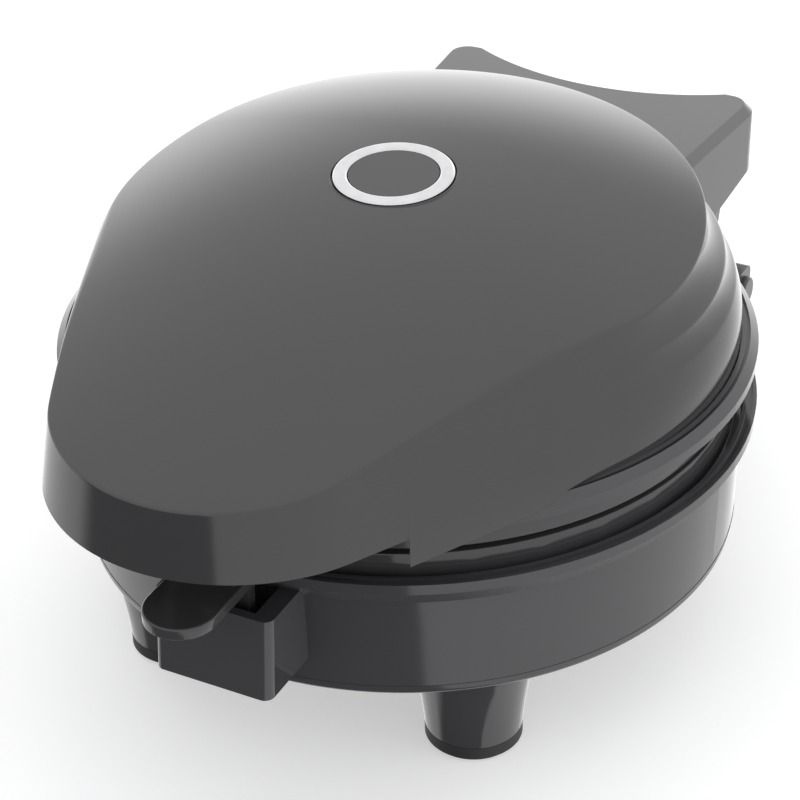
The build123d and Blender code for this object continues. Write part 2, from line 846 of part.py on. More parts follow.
def screw_group(places, head_z, toward):
    """Pan-head screws with their heads at one level. toward is +1 for shanks that point up."""
    with BuildPart() as group:
        with BuildSketch(Plane.XY.offset(head_z)):
            with Locations(*places):
                Circle(screw_head_radius)
        extrude(amount=-toward * screw_head_height)
        heads = group.faces().sort_by(Axis.Z)
        outer_faces = heads[: len(places)] if toward > 0 else heads[-len(places) :]
        fillet(outer_faces.edges(), edge_round)
        with BuildSketch(Plane.XY.offset(head_z)):
            with Locations(*places):
                Circle(screw_radius)
        extrude(amount=toward * screw_length)
        with BuildSketch(Plane.XY.offset(head_z - toward * screw_head_height)):
            with Locations(*places):
                Rectangle(2 * screw_head_radius, screw_slot)
                Rectangle(screw_slot, 2 * screw_head_radius)
        extrude(amount=toward * screw_slot, mode=Mode.SUBTRACT)
    return group


handle_screws = screw_group(handle_screws_at, handle_base_bottom - seat, 1)
save(handle_screws, "handle_screws")

# Cooking plates: a pan with a rim, ribs on its face and a channel for the element on its back
plate_radius = plate_opening - clearance
pan_radius = plate_seat_radius - clearance
face_radius = pan_radius - plate_wall - plate_draft
rib_field = face_radius - rib_end_gap
rib_count = 2 * int((rib_field - rib_width) / rib_pitch) + 1
lower_face_z = lower_rim - plate_recess
with BuildPart() as rib_zone:
    Cylinder(rib_field, dome_top, align=(Align.CENTER, Align.CENTER, Align.MIN))


def plate(rim_z, toward):
    """Ribbed plate with its rim at one level. toward is +1 when the ribs point up."""
    face_z = rim_z - toward * plate_recess
    back_z = face_z - toward * plate_thickness
    channel_z = back_z - toward * element_seat_height
    with BuildPart() as ribs:
        with BuildSketch(Plane.XZ):
            with BuildLine():
                Polyline(
                    (-rib_width / 2, face_z - toward * rib_height),
                    (rib_width / 2, face_z - toward * rib_height),
                    (rib_width / 2, face_z),
                    (rib_top_width / 2, face_z + toward * rib_height),
                    (-rib_top_width / 2, face_z + toward * rib_height),
                    (-rib_width / 2, face_z),
                    close=True,
                )
            make_face()
        extrude(amount=plate_radius, both=True)
        row = GridLocations(rib_pitch, 0, rib_count, 1)
        one_rib = ribs.part
        with row:
            add(one_rib)
        add(rib_zone.part, mode=Mode.INTERSECT)
    with BuildPart() as body:
        with BuildSketch(Plane.XZ):
            with BuildLine():
                Polyline(
                    (0, face_z),
                    (face_radius, face_z),
                    (face_radius + plate_draft, rim_z),
                    (plate_radius, rim_z),
                    (plate_radius, rim_z - toward * plate_rim_thickness),
                    (pan_radius, rim_z - toward * plate_rim_thickness),
                    (pan_radius - plate_draft, back_z),
                    (0, back_z),
                    close=True,
                )
            make_face()
        revolve(axis=Axis.Z)
        with BuildSketch(Plane.XY.offset(back_z)):
            Circle(element_radius + element_seat_width / 2)
            Circle(element_radius - element_seat_width / 2, mode=Mode.SUBTRACT)
        extrude(amount=-toward * element_seat_height)
        with BuildSketch(Plane.XY.offset(back_z)):
            with PolarLocations(plate_boss_circle, plate_boss_count, -90):
                Circle(plate_boss_radius)
        extrude(amount=-toward * (shield_depth - sheet - seat))
        with BuildSketch(Plane.XY.offset(back_z - toward * (shield_depth - sheet - seat))):
            with PolarLocations(plate_boss_circle, plate_boss_count, -90):
                Circle(screw_radius + seat)
        extrude(amount=toward * screw_length, mode=Mode.SUBTRACT)
        with BuildSketch(Plane.XZ):
            with Locations((element_radius, channel_z)):
                Circle(element_tube + seat)
        revolve(axis=Axis.Z, mode=Mode.SUBTRACT)
        add(ribs.part)
    return body


def element(channel_z, toward):
    """Tubular heater in the plate's channel, its two cold pins turned away from the plate."""
    start = 90 + (360 - element_arc) / 2
    ends = [math.radians(start), math.radians(start + element_arc)]
    with BuildPart() as heater:
        turned = Plane.XZ.rotated((0, 0, start))
        with BuildSketch(turned):
            with Locations((element_radius, channel_z)):
                Circle(element_tube)
        revolve(axis=Axis.Z, revolution_arc=element_arc)
        inward = element_tube / element_radius
        places = [
            (element_radius * math.cos(angle), element_radius * math.sin(angle))
            for angle in (ends[0] + inward, ends[1] - inward)
        ]
        with BuildSketch(Plane.XY.offset(channel_z)):
            with Locations(*places):
                Circle(element_pin_radius)
        extrude(amount=-toward * (element_tube + element_pin_length))
    return heater


def shield(back_z, toward):
    """Pressed dish over the element, flanged against the plate's back."""
    floor_z = back_z - toward * shield_depth
    with BuildPart() as dish:
        with BuildSketch(Plane.XZ):
            with BuildLine():
                Polyline(
                    (0, floor_z),
                    (shield_radius, floor_z),
                    (shield_radius, back_z - toward * (sheet + seat)),
                    (shield_radius + shield_flange, back_z - toward * (sheet + seat)),
                    (shield_radius + shield_flange, back_z - toward * seat),
                    (shield_radius - sheet, back_z - toward * seat),
                    (shield_radius - sheet, floor_z + toward * sheet),
                    (0, floor_z + toward * sheet),
                    close=True,
                )
            make_face()
        revolve(axis=Axis.Z)
        start = math.radians(90 + (360 - element_arc) / 2) + element_tube / element_radius
        pin_x = element_radius * math.cos(start)
        pin_y = element_radius * math.sin(start)
        with BuildSketch(Plane.XY.offset(floor_z)):
            with PolarLocations(plate_boss_circle, plate_boss_count, -90):
                Circle(screw_radius + seat)
            with Locations((pin_x, pin_y), (-pin_x, pin_y)):
                Circle(2 * element_pin_radius)
        extrude(amount=toward * sheet, mode=Mode.SUBTRACT)
    return dish


boss_places = [
    (plate_boss_circle * math.cos(angle), plate_boss_circle * math.sin(angle))
    for angle in [math.radians(-90 + 360 * k / plate_boss_count) for k in range(plate_boss_count)]
]
for level, rim_z, toward in (("lower", lower_rim, 1), ("upper", upper_rim, -1)):
    plate_back = rim_z - toward * (plate_recess + plate_thickness)
    save(plate(rim_z, toward), level + "_plate")
    save(element(plate_back - toward * element_seat_height, toward), level + "_element")
    save(shield(plate_back, toward), level + "_heat_shield")
    shield_back = plate_back - toward * (shield_depth + seat)
    save(screw_group(boss_places, shield_back, toward), level + "_plate_screws")

# Thermostat and thermal fuse, both against the back of the lower plate
lower_back = lower_face_z - plate_thickness
with BuildPart() as thermostat:
    with BuildSketch(Plane.XY.offset(lower_back - seat)):
        Circle(thermostat_radius)
    extrude(amount=-thermostat_height)
    chamfer(thermostat.faces().sort_by(Axis.Z)[0].edges(), edge_round)
    with BuildSketch(Plane.XY.offset(lower_back - thermostat_height / 2)):
        with Locations((thermostat_radius, 0), (-thermostat_radius, 0)):
            Rectangle(2 * thermostat_tab, thermostat_tab)
    extrude(amount=-sheet)
save(thermostat, "thermostat")

with BuildPart() as thermal_fuse:
    with BuildSketch(Plane.YZ.offset(-fuse_length / 2)):
        with Locations((fuse_y, lower_back - seat - fuse_radius)):
            Circle(fuse_radius)
    extrude(amount=fuse_length)
    chamfer(thermal_fuse.edges().filter_by(GeomType.CIRCLE), edge_round)
save(thermal_fuse, "thermal_fuse")

# Floor with four flared, hollow legs
leg_places = [(x, y) for x in (-leg_x, leg_x) for y in (-leg_y, leg_y)]
floor_radius = base_inner - base_draft - clearance
floor_screws_at = [(0, floor_screw_circle), (0, -floor_screw_circle), (floor_screw_circle, 0), (-floor_screw_circle, 0)]
with BuildPart() as leg:
    with BuildSketch(Plane.XZ):
        with BuildLine():
            Polyline(
                (leg_top_radius, leg_height - seat),
                (0, leg_height - seat),
                (0, pad_height + seat),
                (leg_bottom_radius, pad_height + seat),
            )
            ThreePointArc(
                (leg_bottom_radius, pad_height + seat),
                (leg_waist_radius, leg_waist_z),
                (leg_top_radius, leg_height - seat),
            )
        make_face()
    revolve(axis=Axis.Z)

with BuildPart() as bottom_cover:
    with BuildSketch(Plane.XY.offset(leg_height - seat)):
        Circle(floor_radius)
    extrude(amount=floor_thickness)
    with Locations(*leg_places):
        add(leg.part)
    with BuildSketch(Plane.XY.offset(pad_height + leg_wall)):
        with Locations(*leg_places):
            Circle(leg_bottom_radius - leg_wall)
    extrude(amount=leg_height, mode=Mode.SUBTRACT)
    with BuildSketch(Plane.XY.offset(pad_height)):
        with Locations(*leg_places):
            Circle(pad_plug_radius + seat)
    extrude(amount=leg_height, mode=Mode.SUBTRACT)
    with BuildSketch(Plane.XY.offset(leg_height - seat)):
        with Locations(*floor_screws_at):
            Circle(screw_radius + seat)
    extrude(amount=floor_thickness, mode=Mode.SUBTRACT)
save(bottom_cover, "bottom_cover")

base_screws = screw_group(floor_screws_at, leg_height - 2 * seat, 1)
save(base_screws, "base_screws")

# Rubber pads, plugged into the legs
for front_back, y in (("front", -leg_y), ("rear", leg_y)):
    for left_right, x in (("left", -leg_x), ("right", leg_x)):
        with BuildPart() as foot_pad:
            with BuildSketch():
                with Locations((x, y)):
                    Circle(leg_bottom_radius)
            extrude(amount=pad_height)
            chamfer(foot_pad.faces().sort_by(Axis.Z)[0].edges(), pad_chamfer)
            with BuildSketch(Plane.XY.offset(pad_height)):
                with Locations((x, y)):
                    Circle(pad_plug_radius)
            extrude(amount=pad_plug_height)
        save(foot_pad, "foot_pad_" + front_back + "_" + left_right)

# Terminal block on the floor, with its screw wells
with BuildPart() as terminal_block:
    with BuildSketch(Plane.XY.offset(leg_height + floor_thickness)):
        with Locations((0, terminal_y)):
            Rectangle(terminal_length, terminal_width)
    extrude(amount=terminal_height)
    with BuildSketch(Plane.XY.offset(leg_height + floor_thickness + terminal_height / 2)):
        with Locations((0, terminal_y)):
            with GridLocations(terminal_length / terminal_count, terminal_width / 2, terminal_count, 2):
                Circle(screw_radius)
    extrude(amount=terminal_height, mode=Mode.SUBTRACT)
save(terminal_block, "terminal_block")

# Gland where the lead enters the back of the base
with BuildPart() as cord_gland:
    with BuildSketch(Plane.XZ.offset(-base_radius - seat)):
        with Locations((0, gland_z)):
            Circle(gland_flange_radius)
    extrude(amount=-gland_flange)
    with BuildSketch(Plane.XZ.offset(-base_radius - seat)):
        with Locations((0, gland_z)):
            Circle(gland_radius)
    extrude(amount=wall + gland_nose)
    with BuildSketch(Plane.XZ.offset(-base_radius - gland_flange - wall)):
        with Locations((0, gland_z)):
            Circle(gland_bore_radius)
    extrude(amount=4 * wall + gland_nose, mode=Mode.SUBTRACT)
    fillet(cord_gland.faces().sort_by(Axis.Y)[-1].edges(), edge_round)
save(cord_gland, "cord_gland")
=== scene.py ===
# %% [markdown]
# A compact round contact grill stands on a pale table with its lid closed. The moulded housing is a
# dark grey plastic with a soft shine, the hinge block at the back is a lighter grey, and a bright
# ring is let into the top. The solid model gives every size and joint, so this script starts by
# loading it and then dresses it piece by piece.

import math

import bpy
import numpy as np
from mathutils import Matrix, Vector


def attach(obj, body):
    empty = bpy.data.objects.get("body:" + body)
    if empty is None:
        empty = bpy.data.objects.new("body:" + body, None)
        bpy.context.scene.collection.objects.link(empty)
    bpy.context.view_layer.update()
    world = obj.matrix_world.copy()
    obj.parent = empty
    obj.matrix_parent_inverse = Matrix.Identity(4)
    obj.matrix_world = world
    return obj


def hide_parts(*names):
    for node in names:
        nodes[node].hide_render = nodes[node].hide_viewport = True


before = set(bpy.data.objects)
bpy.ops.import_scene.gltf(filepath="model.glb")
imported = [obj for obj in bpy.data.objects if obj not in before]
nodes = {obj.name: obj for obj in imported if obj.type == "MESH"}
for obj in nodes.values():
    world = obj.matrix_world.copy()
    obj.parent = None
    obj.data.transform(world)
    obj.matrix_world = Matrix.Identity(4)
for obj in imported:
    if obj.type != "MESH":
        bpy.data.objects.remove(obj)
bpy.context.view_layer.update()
scene = bpy.context.scene
MM = 0.001

# %% [markdown]
# The camera could be set by eye, but then no outline would lie on its twin in the photograph. Here
# its heading, tilt and roll come from the ellipses of the round base, and they are turned into the
# three axes of the camera by plain trigonometry.

# %% Camera, lengths in millimetres
HEADING = math.radians(27.73)
TILT = math.radians(32.54)
ROLL = math.radians(-1.396)
CAMERA_PLACE = Vector((199.21, -382.93, 321.30)) * MM
LENS = 109.354
SENSOR = 36.0
NEAR_CLIP = 10.0

flat_right = Vector((math.cos(HEADING), math.sin(HEADING), 0))
back = Vector((math.sin(HEADING) * math.cos(TILT), -math.cos(HEADING) * math.cos(TILT), math.sin(TILT)))
level_up = back.cross(flat_right)
right = flat_right * math.cos(ROLL) + level_up * math.sin(ROLL)
up = level_up * math.cos(ROLL) - flat_right * math.sin(ROLL)

camera_data = bpy.data.cameras.new("camera")
camera_data.sensor_width = SENSOR
camera_data.lens = LENS
camera_data.dof.use_dof = False
camera_data.clip_start = NEAR_CLIP * MM
camera = bpy.data.objects.new("camera", camera_data)
camera.matrix_world = Matrix.Translation(CAMERA_PLACE) @ Matrix((right, up, back)).transposed().to_4x4()
scene.collection.objects.link(camera)
scene.camera = camera

# %% [markdown]
# Light and finish are both graphs of nodes, small boxes that pass numbers and colours along links.
# They could be wired by hand in the node editor, but a script can be read and run again. The first
# of these short helpers joins two boxes. Each of the others adds a box and hands back its result.

# %% Node helpers
def feed(tree, value, socket):
    """Links a value to a socket, or stores it there when it is a plain number or colour."""
    if isinstance(value, bpy.types.NodeSocket):
        tree.links.new(value, socket)
    else:
        socket.default_value = value


def combine(tree, operation, *values):
    """Result of a Math node on two or three values, each a socket or a number."""
    node = tree.nodes.new("ShaderNodeMath")
    node.operation = operation
    for value, socket in zip(values, node.inputs):
        feed(tree, value, socket)
    return node.outputs[0]


def facing(tree, direction, axis):
    """How far a direction points along an axis: their dot product."""
    node = tree.nodes.new("ShaderNodeVectorMath")
    node.operation = "DOT_PRODUCT"
    node.inputs[1].default_value = axis
    tree.links.new(direction, node.inputs[0])
    return node.outputs["Value"]


def ease_range(tree, value, start, end, low=0.0, high=1.0):
    """Runs smoothly from low to high while the value runs from start to end."""
    node = tree.nodes.new("ShaderNodeMapRange")
    node.interpolation_type = "SMOOTHSTEP"
    for name, number in (("From Min", start), ("From Max", end), ("To Min", low), ("To Max", high)):
        node.inputs[name].default_value = number
    tree.links.new(value, node.inputs["Value"])
    return node.outputs["Result"]


print("node helpers: feed, combine, facing, ease_range")

# %% [markdown]
# Gloss shows what stands round an object. In the photograph the lip of the lid mirrors something
# dark, low at the front left, and the crown mirrors a bright area behind the grill. Both could be
# sheets in the scene, but sheets would also change the light on the plastic. So they are drawn into
# the world: the card is the part of it inside three soft edges, and the glow fades with height.

# %% What the gloss mirrors
BACKDROP = 1.0
UPWARD = (0.0, 0.0, 1.0)
CARD_EDGES = {
    "right": {"inward": (-0.877, -0.043, -0.479), "blur": 0.02},
    "left": {"inward": (0.259, -0.966, 0.0), "blur": 0.25},
    "top": {"inward": (0.0, 0.0, -1.0), "blur": 0.10},
}
CARD_SHADE = 0.08
GLOW_SIDE = (-0.39, 0.92, 0.0)
GLOW_REACH = 0.62
GLOW_LEVEL = 0.85
GLOW_FROM, GLOW_TO = 0.10, 0.54


def mirrored_level(tree):
    """Brightness in each direction: the backdrop, darker on the card, plus the glow behind."""
    direction = tree.nodes.new("ShaderNodeTexCoord").outputs["Generated"]
    card = 1.0
    for edge in CARD_EDGES.values():
        inside = ease_range(tree, facing(tree, direction, edge["inward"]), 0.0, edge["blur"])
        card = combine(tree, "MULTIPLY", card, inside)
    ground = combine(tree, "MULTIPLY_ADD", card, CARD_SHADE - BACKDROP, BACKDROP)
    wide = ease_range(tree, facing(tree, direction, GLOW_SIDE), GLOW_REACH, 1.0)
    low = ease_range(tree, facing(tree, direction, UPWARD), GLOW_FROM, GLOW_TO, 1.0, 0.0)
    glow = combine(tree, "MULTIPLY", low, wide)
    return combine(tree, "MULTIPLY_ADD", glow, GLOW_LEVEL, ground)


print("card edges:", len(CARD_EDGES))

# %% [markdown]
# The photograph has a plain white ground and soft light from all round. A world that is white for
# everything would wash out the grey. The Light Path node tells rays apart, so the camera meets
# white, the gloss meets the card and the glow, and the light on the plastic stays at a plain level.

# %% World
AMBIENT = 0.72
AMBIENT_COLOUR = (0.97, 0.98, 1.0, 1)
WHITE = (1, 1, 1, 1)


def background():
    """World of two backgrounds: one that lights the object and one that direct rays see."""
    world = bpy.data.worlds.new("studio")
    scene.world = world
    world.use_nodes = True
    tree = world.node_tree
    tree.nodes.clear()
    path = tree.nodes.new("ShaderNodeLightPath").outputs
    level = tree.nodes.new("ShaderNodeMix")
    level.data_type = "FLOAT"
    feed(tree, path["Is Glossy Ray"], level.inputs[0])
    feed(tree, BACKDROP, level.inputs[2])
    feed(tree, mirrored_level(tree), level.inputs[3])
    lit = tree.nodes.new("ShaderNodeBackground")
    seen = tree.nodes.new("ShaderNodeBackground")
    for node, colour, strength in ((lit, AMBIENT_COLOUR, AMBIENT), (seen, WHITE, level.outputs[0])):
        feed(tree, colour, node.inputs["Color"])
        feed(tree, strength, node.inputs["Strength"])
    direct = combine(tree, "MAXIMUM", path["Is Camera Ray"], path["Is Glossy Ray"])
    mix = tree.nodes.new("ShaderNodeMixShader")
    feed(tree, combine(tree, "MAXIMUM", direct, path["Is Transmission Ray"]), mix.inputs["Fac"])
    feed(tree, lit.outputs[0], mix.inputs[1])
    feed(tree, seen.outputs[0], mix.inputs[2])
    out = tree.nodes.new("ShaderNodeOutputWorld")
    feed(tree, mix.outputs[0], out.inputs["Surface"])


scene.view_settings.view_transform = "Standard"
background()
print("world nodes:", len(scene.world.node_tree.nodes))

# %% [markdown]
# Light from all round alone would leave the shapes flat. Small lamps would throw hard shadows that
# the photograph hasn't got. Three large square lamps, above, behind and at the right, are soft
# enough to shape the plastic gently, and they stay out of its gloss.

# %% Lamps
LAMP_TARGET = (0, 0, 0.06)
LAMPS = {
    "key": {"place": (-0.4, 0.2, 1.8), "size": 1.6, "power": 9.0},
    "rim": {"place": (0.5, 1.5, 1.0), "size": 1.4, "power": 4.0},
    "side": {"place": (1.6, 0.3, 0.7), "size": 1.2, "power": 5.0},
}


def softbox(name, place, size, power):
    """Square area lamp at a place, turned to look at the object, without a mirror image of its own."""
    data = bpy.data.lights.new(name, "AREA")
    data.shape = "SQUARE"
    data.size = size
    data.energy = power
    lamp = bpy.data.objects.new(name, data)
    lamp.location = place
    lamp.visible_glossy = False
    lamp.rotation_euler = (Vector(LAMP_TARGET) - Vector(place)).to_track_quat("-Z", "Y").to_euler()
    scene.collection.objects.link(lamp)


for name, values in LAMPS.items():
    softbox(name, **values)
print("lamps:", len(LAMPS))

# %% [markdown]
# The grill stands on a white ground with no edge, and its shadow is faint. A floor that is only lit
# would come out grey. A brighter lamp would whiten it and the grill too, so the floor sends out a
# little light of its own instead, for camera rays alone, and its shadow stays.

# %% Floor
FLOOR_HALF = 3.0
FLOOR_SHADE = 0.72
FLOOR_ROUGHNESS = 0.9
FLOOR_LIFT = 0.44
MATERIALS = {}


def new_material(name):
    """Material with its node tree and shader."""
    material = bpy.data.materials.new(name)
    material.use_nodes = True
    MATERIALS[name] = material
    return material, material.node_tree, material.node_tree.nodes["Principled BSDF"]


def floor():
    """Square sheet under the object: pale, matt, and lifted to white for camera rays."""
    corners = [(x * FLOOR_HALF, y * FLOOR_HALF, 0) for x, y in ((-1, -1), (1, -1), (1, 1), (-1, 1))]
    mesh = bpy.data.meshes.new("floor")
    mesh.from_pydata(corners, [], [(0, 1, 2, 3)])
    sheet = bpy.data.objects.new("floor", mesh)
    scene.collection.objects.link(sheet)
    material, tree, shader = new_material("pale floor")
    shader.inputs["Base Color"].default_value = (FLOOR_SHADE, FLOOR_SHADE, FLOOR_SHADE, 1)
    shader.inputs["Roughness"].default_value = FLOOR_ROUGHNESS
    shader.inputs["Emission Color"].default_value = WHITE
    path = tree.nodes.new("ShaderNodeLightPath").outputs
    lift = combine(tree, "MULTIPLY", path["Is Camera Ray"], FLOOR_LIFT)
    feed(tree, lift, shader.inputs["Emission Strength"])
    mesh.materials.append(material)
    sheet.visible_glossy = False


floor()
print("floor:", 2 * FLOOR_HALF, "m wide")

# %% [markdown]
# Moulded plastic is never one flat colour. A fine grain breaks up its gloss, and the gloss itself
# wanders a little over the part. A painted image could hold this, but it would need a flat map of
# every piece. Noise on Object coordinates needs none, and it stays with the piece when it moves.

# %% Noise, colour and relief
NOISE_LOW, NOISE_HIGH = 0.25, 0.75


def noise(tree, scale, detail=3.0):
    """Noise on Object coordinates, scale in cycles per metre."""
    place = tree.nodes.new("ShaderNodeTexCoord")
    texture = tree.nodes.new("ShaderNodeTexNoise")
    texture.inputs["Scale"].default_value = scale
    texture.inputs["Detail"].default_value = detail
    tree.links.new(place.outputs["Object"], texture.inputs["Vector"])
    return texture.outputs["Fac"]


def spread(tree, value, low, high):
    """Maps a noise's middle range to low and high."""
    return ease_range(tree, value, NOISE_LOW, NOISE_HIGH, low, high)


def tint(tree, value, dark, light):
    """Colour that wanders between two near shades."""
    mix = tree.nodes.new("ShaderNodeMix")
    mix.data_type = "RGBA"
    mix.inputs[6].default_value = (*dark, 1)
    mix.inputs[7].default_value = (*light, 1)
    tree.links.new(value, mix.inputs[0])
    return mix.outputs[2]


def bump(tree, shader, value, height):
    """Fine relief from a value, height in metres."""
    node = tree.nodes.new("ShaderNodeBump")
    node.inputs["Strength"].default_value = 1.0
    node.inputs["Distance"].default_value = height
    tree.links.new(value, node.inputs["Height"])
    tree.links.new(node.outputs["Normal"], shader.inputs["Normal"])


print("material helpers: noise, spread, tint, bump")

# %% [markdown]
# Two families of finish cover the whole grill. Plastic is grey in its body and clear in its gloss,
# so its shade and its gloss each have a noise of their own. Metal takes colour and polish from the
# same worn surface, so one noise drives both.

# %% Plastic and metal
PLASTIC_IOR = 1.56
SHADE_SCALE, SHADE_DETAIL, SHADE_CHANGE = 14, 2, 0.05
GLOSS_SCALE, GLOSS_CHANGE = 60, 0.1
GRAIN_HEIGHT, GRAIN_SCALE, GRAIN_DETAIL = 0.000004, 2500, 2
METAL_SCALE, METAL_DETAIL, METAL_HEIGHT = 400, 4, 0.000003
METAL_SHADE_CHANGE, METAL_GLOSS_CHANGE = 0.07, 0.15


def plastic(name, shade, gloss, grain=GRAIN_HEIGHT, grain_scale=GRAIN_SCALE):
    """Moulded plastic: near-grey shade, roughness that wanders, and a fine grain."""
    material, tree, shader = new_material(name)
    dark = [part * (1 - SHADE_CHANGE) for part in shade]
    light = [part * (1 + SHADE_CHANGE) for part in shade]
    wander = spread(tree, noise(tree, SHADE_SCALE, SHADE_DETAIL), 0, 1)
    rough = spread(tree, noise(tree, GLOSS_SCALE), gloss * (1 - GLOSS_CHANGE), gloss * (1 + GLOSS_CHANGE))
    feed(tree, tint(tree, wander, dark, light), shader.inputs["Base Color"])
    feed(tree, rough, shader.inputs["Roughness"])
    feed(tree, PLASTIC_IOR, shader.inputs["IOR"])
    bump(tree, shader, noise(tree, grain_scale, GRAIN_DETAIL), grain)
    return material


def metal(name, shade, gloss):
    """Bare or plated metal with a wandering polish."""
    material, tree, shader = new_material(name)
    fine = noise(tree, METAL_SCALE, METAL_DETAIL)
    dark = [part * (1 - METAL_SHADE_CHANGE) for part in shade]
    rough = spread(tree, fine, gloss * (1 - METAL_GLOSS_CHANGE), gloss * (1 + METAL_GLOSS_CHANGE))
    feed(tree, tint(tree, spread(tree, fine, 0, 1), dark, shade), shader.inputs["Base Color"])
    feed(tree, rough, shader.inputs["Roughness"])
    feed(tree, 1.0, shader.inputs["Metallic"])
    bump(tree, shader, fine, METAL_HEIGHT)
    return material


print("plastic mirrors, seen head on:", round(((PLASTIC_IOR - 1) / (PLASTIC_IOR + 1)) ** 2, 3))

# %% [markdown]
# The housing is one kind of dark grey plastic in near shades, and the hinge block is lighter and
# duller. The pieces inside could share one grey, because the closed grill hides them. But the open
# lid shows the coated plates, the latch pin and the screws, so each has the finish that such grills
# give it.

# %% Finishes
LID_GREY = plastic("lid grey", (0.050, 0.050, 0.052), 0.12)
HINGE_GREY = plastic("hinge grey", (0.125, 0.125, 0.128), 0.20)
BASE_GREY = plastic("base grey", (0.064, 0.064, 0.068), 0.09)
BAND_GREY = plastic("band grey", (0.062, 0.062, 0.065), 0.10)
LATCH_DARK = plastic("latch dark", (0.052, 0.052, 0.054), 0.16)
RUBBER = plastic("pad rubber", (0.020, 0.020, 0.021), 0.65, 0.00001, 900)
BRIGHT = metal("bright trim", (0.78, 0.78, 0.80), 0.22)
STEEL = metal("plated steel", (0.55, 0.55, 0.56), 0.30)
SHEET = metal("shield sheet", (0.74, 0.74, 0.73), 0.38)
HEATER = metal("heater tube", (0.30, 0.28, 0.26), 0.5)
PLATE_COAT = plastic("plate coating", (0.030, 0.030, 0.031), 0.45, 0.000012, 1400)
CERAMIC = plastic("glazed ceramic", (0.72, 0.69, 0.60), 0.25)
LAMP = plastic("lamp lens", (0.60, 0.14, 0.06), 0.12)
print("finishes with the floor's:", len(MATERIALS))

# %% [markdown]
# The lid cover is the piece that makes this grill look moulded: a crowned top that runs out into a
# handle, a barrelled wall with two coved steps above it round the back, and flanks that swallow the
# steps toward the handle. It could be sculpted or subdivided from a cage, but its edges have to lie
# where the solid has them. So it is one surface in two parameters, the direction round the ring and
# the way from the ring to the lip, and each part of the way has its own formula.

# %% Crown of the lid, in millimetres
DOME_TOP = 101.8
APEX_Y = 14.9
LONG_RADIUS, REAR_RADIUS, CROSS_RADIUS = 372.0, 143.0, 161.0
RING_Y = -4.3


def crown(x, y, inset=0.0):
    """Height of the crown: a cross arc carried along a long arc in front and a tighter one behind."""
    along = np.where(y > APEX_Y, REAR_RADIUS, LONG_RADIUS) - inset
    drop = CROSS_RADIUS - np.sqrt(CROSS_RADIUS**2 - x**2)
    return DOME_TOP - inset - along + np.sqrt((along - drop) ** 2 - (y - APEX_Y) ** 2)


print("crown above the ring:", round(float(crown(0.0, RING_Y)), 2), "mm")

# %% [markdown]
# Seen from the side, the wall at the back of the lid is a barrel with two hollow steps above it. A
# knife-sharp step would catch no light, and a bevel would need clean edges to work on. So the whole
# side view is one line of radii, and averaging it over a short height rounds every edge alike.

# %% Stepped profile of the round wall
WALL_RADIUS, WALL_TOP = 68.4, 70.0
STEP_HEIGHTS = (78.5, 83.5, 90.08)
STEP_RADII = (66.7, 64.4, 60.3)
EDGE_SPREAD = 0.3
PROFILE_FROM, PROFILE_TO, PROFILE_PITCH = 55, 110, 0.02


def arc_rise(z, upright_z, upright_radius, far_z, far_radius):
    """Radius along an arc that is upright at one height and reaches another radius at a far height."""
    run = far_radius - upright_radius
    bend = ((far_z - upright_z) ** 2 + run**2) / (2 * abs(run))
    away = bend - np.sqrt(np.maximum(bend**2 - (z - upright_z) ** 2, 0))
    return upright_radius + math.copysign(1, run) * away


def step_profile():
    """Heights and radii of the wall: a barrel, then two coves, its edges averaged over a short height."""
    z = np.arange(PROFILE_FROM, PROFILE_TO, PROFILE_PITCH)
    low, middle, top = STEP_HEIGHTS
    radius = np.full_like(z, STEP_RADII[2])
    radius = np.where(z < top, arc_rise(z, top, STEP_RADII[2], middle, STEP_RADII[1]), radius)
    radius = np.where(z < middle, arc_rise(z, middle, STEP_RADII[1], low, STEP_RADII[0]), radius)
    radius = np.where(z < low, arc_rise(z, WALL_TOP, WALL_RADIUS, low, STEP_RADII[0]), radius)
    radius = np.where(z < WALL_TOP, WALL_RADIUS, radius)
    width = round(EDGE_SPREAD / PROFILE_PITCH)
    padded = np.pad(radius, width, mode="edge")
    return z, np.convolve(padded, np.ones(2 * width + 1) / (2 * width + 1), mode="valid")


PROFILE_Z, PROFILE_R = step_profile()
print("wall radius from", PROFILE_R.max().round(2), "to", PROFILE_R.min().round(2), "mm")

# %% [markdown]
# From above, the lid is a teardrop that narrows to the handle. It could be drawn as a freehand
# curve, but arcs that touch each other keep the flanks clean in the gloss. The rear circle shrinks
# with height, and the handle's corners flare toward the lip.

# %% Teardrop outline of the flanks
FLANK_LEVELS = (64.5, 68.0, 73.0, 78.5, 83.5, 90.08, 97.08)
FLANK_RADII = (68.3, 68.1, 66.9, 64.9, 62.8, 60.0, 57.0)
FLANK_DEGREE = 4
flank_curve = np.polynomial.Polynomial.fit(FLANK_LEVELS, FLANK_RADII, FLANK_DEGREE)
CENTRE_Y, CORNER_X, CORNER_Y = -1.0, 6.8, -71.5
CORNER_RADIUS, FRONT_RADIUS, BOW_RADIUS = 26.6, 35.6, 900.0
FLARE, RIM_HEIGHT = 0.164, 83.4
REAR_POINTS, BOW_POINTS, CORNER_POINTS, FRONT_POINTS = 200, 90, 120, 60


def arc_points(centre, radius, start, end, count):
    """Points of an arc, as a row of x and a row of y."""
    angle = np.linspace(start, end, count)
    return centre[0] + radius * np.cos(angle), centre[1] + radius * np.sin(angle)


def fold(turns):
    """The same directions mirrored to the right half, from the handle at the front to the back."""
    return np.arctan2(np.sin(turns), np.abs(np.cos(turns)))


